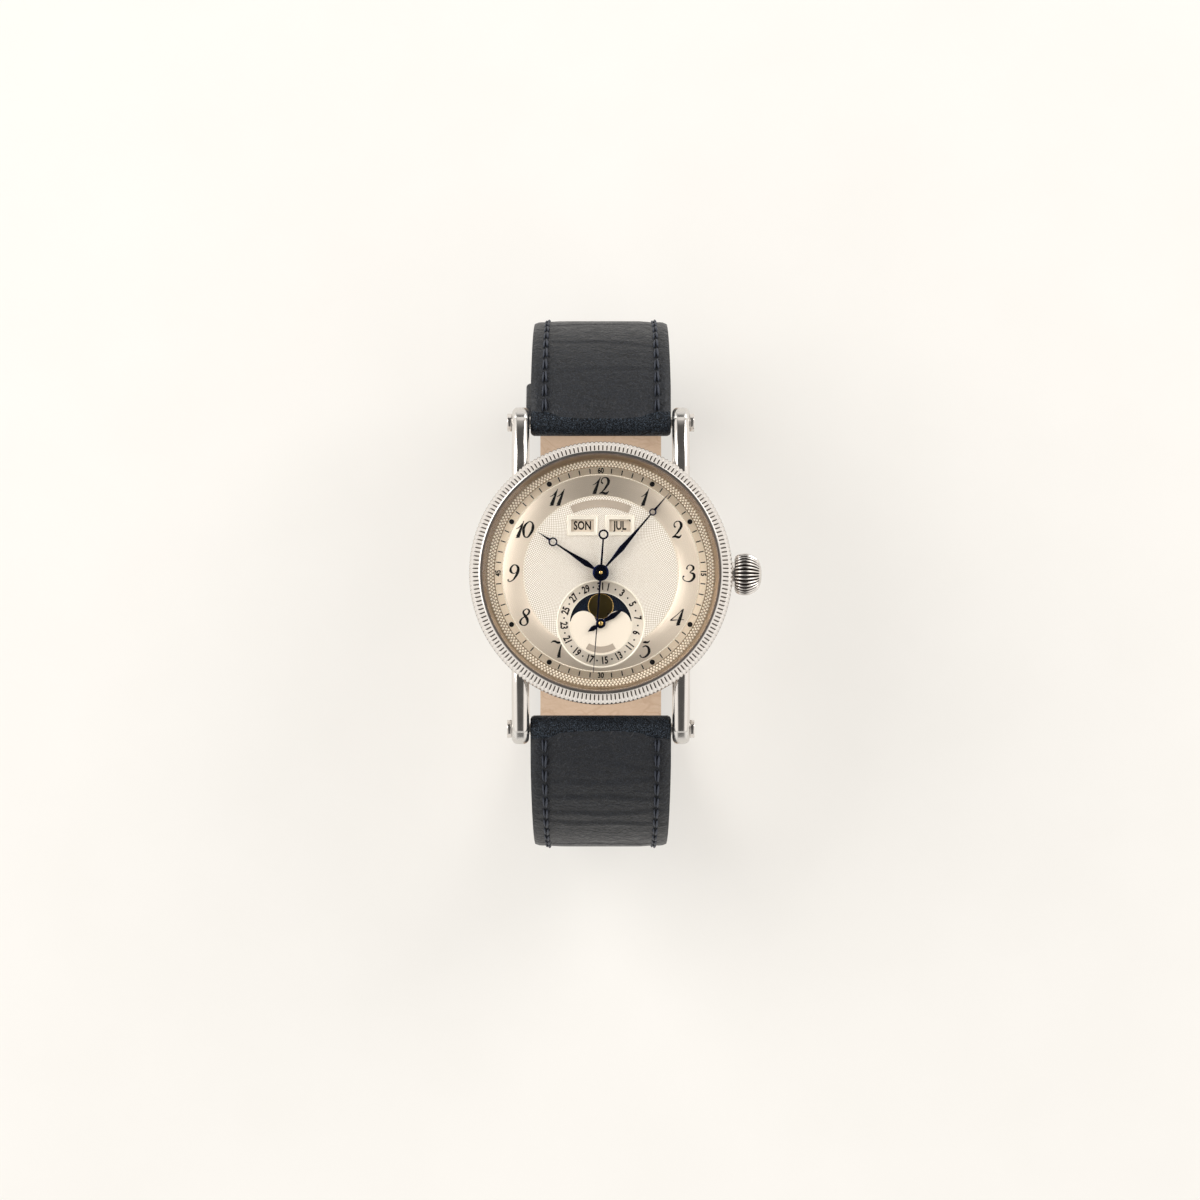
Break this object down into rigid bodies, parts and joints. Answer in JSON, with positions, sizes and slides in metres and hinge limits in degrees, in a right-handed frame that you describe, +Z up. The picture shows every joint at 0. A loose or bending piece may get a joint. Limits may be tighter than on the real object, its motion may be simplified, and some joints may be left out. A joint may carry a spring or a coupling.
{
  "type": "moon phase wristwatch",
  "caption": "Round steel wristwatch with coin-edged bezel, day, month, date and moon displays, onion crown and a buckled padded leather strap closed in a loop.",
  "frame": {"origin": "on the table under the middle of the dial, with the closed strap standing on its keeper and buckle", "axes": "+Z up out of the dial, +Y towards twelve o'clock, +X towards the crown"},
  "size_m": [0.0422, 0.0772, 0.0508],
  "materials": {
    "polished_steel": "mirror polished",
    "plain_steel": "fine brushed",
    "crystal_glass": "clear and polished",
    "gasket": "matte",
    "rehaut_silver": "satin",
    "strap_leather": "semi-gloss grained calf",
    "lining_leather": "matte nubuck",
    "dial_silver": "silvered, engine-turned centre and brushed ring",
    "disc_white": "matte",
    "moon_blue": "gloss lacquer",
    "blued_steel": "blued and polished",
    "plate_silver": "striped and rhodium-like",
    "wheel_brass": "circular grained"
  },
  "bodies": {
    "frame": {"case_middle": "polished_steel", "lugs": "polished_steel", "bezel": "polished_steel", "crystal": "crystal_glass", "crystal_gasket": "gasket", "rehaut_ring": "rehaut_silver", "case_back": "polished_steel", "back_crystal": "crystal_glass", "back_gasket": "gasket", "crown_tube": "plain_steel", "strap_bars": "plain_steel", "lug_screws": "polished_steel", "strap_short": "strap_leather", "lining_short": "lining_leather", "strap_long": "strap_leather", "lining_long": "lining_leather", "buckle_frame": "polished_steel", "buckle_bar": "plain_steel", "fixed_keeper": "strap_leather", "dial": "dial_silver", "movement_ring": "plate_silver", "main_plate": "plate_silver", "calendar_plate": "plate_silver", "hairspring": "blued_steel", "balance_cock": "plate_silver", "train_bridge": "plate_silver", "rotor_bearing": "plain_steel", "bridge_screws": "blued_steel"},
    "minute": {"centre_wheel": "wheel_brass", "cannon_pinion": "plain_steel", "minute_hand": "blued_steel"},
    "motion_wheel": {"minute_wheel": "wheel_brass"},
    "hour": {"hour_wheel": "wheel_brass", "hour_hand": "blued_steel"},
    "third": {"third_wheel": "wheel_brass"},
    "seconds": {"seconds_pinion": "plain_steel", "seconds_hand": "blued_steel"},
    "fourth": {"fourth_wheel": "wheel_brass"},
    "escape": {"escape_wheel": "plain_steel"},
    "fork": {"pallet_fork": "plain_steel"},
    "balance": {"balance_wheel": "wheel_brass"},
    "barrel": {"barrel": "wheel_brass"},
    "ratchet": {"ratchet_wheel": "plain_steel"},
    "rotor": {"rotor": "plate_silver"},
    "day": {"day_disc": "disc_white"},
    "month": {"month_disc": "disc_white"},
    "moon": {"moon_disc": "moon_blue"},
    "date": {"date_wheel": "wheel_brass", "date_hand": "blued_steel"},
    "clutch": {"sliding_pinion": "plain_steel"},
    "crown": {"crown": "polished_steel", "winding_stem": "plain_steel"},
    "corrector_at_2": {"corrector_2": "polished_steel"},
    "corrector_at_4": {"corrector_4": "polished_steel"},
    "corrector_at_8": {"corrector_8": "polished_steel"},
    "corrector_at_10": {"corrector_10": "polished_steel"},
    "tang": {"buckle_tang": "polished_steel"},
    "keeper": {"sliding_keeper": "strap_leather"}
  },
  "joints": [
    {"name": "minute_turn", "type": "hinge", "parent": "frame", "child": "minute", "pos_m": [0, 0, 0.04507], "axis": [0, 0, -1], "continuous": true},
    {"name": "motion_wheel_turn", "type": "hinge", "parent": "frame", "child": "motion_wheel", "pos_m": [0.00248, 0.0009, 0.04607], "axis": [0, 0, -1], "continuous": true},
    {"name": "hour_turn", "type": "hinge", "parent": "frame", "child": "hour", "pos_m": [0, 0, 0.04637], "axis": [0, 0, -1], "continuous": true},
    {"name": "third_turn", "type": "hinge", "parent": "frame", "child": "third", "pos_m": [-0.00318, -0.00318, 0.04397], "axis": [0, 0, -1], "continuous": true},
    {"name": "seconds_turn", "type": "hinge", "parent": "frame", "child": "seconds", "pos_m": [0, 0, 0.04397], "axis": [0, 0, -1], "continuous": true},
    {"name": "fourth_turn", "type": "hinge", "parent": "frame", "child": "fourth", "pos_m": [-0.00741, -0.00164, 0.04477], "axis": [0, 0, -1], "continuous": true},
    {"name": "escape_turn", "type": "hinge", "parent": "frame", "child": "escape", "pos_m": [-0.00685, 0.00156, 0.04487], "axis": [0, 0, -1], "continuous": true},
    {"name": "barrel_turn", "type": "hinge", "parent": "frame", "child": "barrel", "pos_m": [0.00273, 0.00473, 0.04437], "axis": [0, 0, -1], "continuous": true},
    {"name": "ratchet_turn", "type": "hinge", "parent": "frame", "child": "ratchet", "pos_m": [0.00273, 0.00473, 0.04317], "axis": [0, 0, -1], "continuous": true},
    {"name": "rotor_turn", "type": "hinge", "parent": "frame", "child": "rotor", "pos_m": [0, 0, 0.04217], "axis": [0, 0, -1], "continuous": true},
    {"name": "day_turn", "type": "hinge", "parent": "frame", "child": "day", "pos_m": [-0.006, 0.0056, 0.04717], "axis": [0, 0, -1], "continuous": true},
    {"name": "month_turn", "type": "hinge", "parent": "frame", "child": "month", "pos_m": [0.006, 0.0056, 0.04717], "axis": [0, 0, -1], "continuous": true},
    {"name": "moon_turn", "type": "hinge", "parent": "frame", "child": "moon", "pos_m": [0, -0.00728, 0.04717], "axis": [0, 0, -1], "continuous": true},
    {"name": "date_turn", "type": "hinge", "parent": "frame", "child": "date", "pos_m": [0, -0.00728, 0.04677], "axis": [0, 0, -1], "continuous": true},
    {"name": "fork_swing", "type": "hinge", "parent": "frame", "child": "fork", "pos_m": [-0.00672, 0.00366, 0.04487], "axis": [0, 0, -1], "range_deg": [-5, 5]},
    {"name": "balance_swing", "type": "hinge", "parent": "frame", "child": "balance", "pos_m": [-0.0066, 0.0056, 0.04427], "axis": [0, 0, -1], "range_deg": [-270, 270], "stiffness_Nm_per_rad": 0.00000008, "deforming": ["hairspring"]},
    {"name": "crown_turn", "type": "hinge", "parent": "frame", "child": "clutch", "pos_m": [0.0096, 0, 0.04517], "axis": [1, 0, 0], "continuous": true},
    {"name": "crown_pull", "type": "slide", "parent": "clutch", "child": "crown", "axis": [1, 0, 0], "range_m": [0, 0.0012]},
    {"name": "corrector_2_push", "type": "slide", "parent": "frame", "child": "corrector_at_2", "axis": [-0.866, -0.5, 0], "range_m": [0, 0.0006], "stiffness_N_per_m": 400},
    {"name": "corrector_4_push", "type": "slide", "parent": "frame", "child": "corrector_at_4", "axis": [-0.866, 0.5, 0], "range_m": [0, 0.0006], "stiffness_N_per_m": 400},
    {"name": "corrector_8_push", "type": "slide", "parent": "frame", "child": "corrector_at_8", "axis": [0.866, 0.5, 0], "range_m": [0, 0.0006], "stiffness_N_per_m": 400},
    {"name": "corrector_10_push", "type": "slide", "parent": "frame", "child": "corrector_at_10", "axis": [0.866, -0.5, 0], "range_m": [0, 0.0006], "stiffness_N_per_m": 400},
    {"name": "tang_lift", "type": "hinge", "parent": "frame", "child": "tang", "pos_m": [0, 0, 0.0049], "axis": [1, 0, 0], "range_deg": [0, 6]},
    {"name": "keeper_slide", "type": "hinge", "parent": "frame", "child": "keeper", "pos_m": [0, 0.018, 0.0244], "axis": [1, 0, 0], "range_deg": [-9.5, 12]}
  ],
  "couplings": [
    {"joint": "motion_wheel_turn", "follows": "minute_turn", "ratio": -0.33333},
    {"joint": "hour_turn", "follows": "minute_turn", "ratio": 0.083333},
    {"joint": "third_turn", "follows": "minute_turn", "ratio": -8},
    {"joint": "seconds_turn", "follows": "minute_turn", "ratio": 60},
    {"joint": "fourth_turn", "follows": "minute_turn", "ratio": 60},
    {"joint": "escape_turn", "follows": "minute_turn", "ratio": -720},
    {"joint": "barrel_turn", "follows": "minute_turn", "ratio": -0.16667}
  ]
}
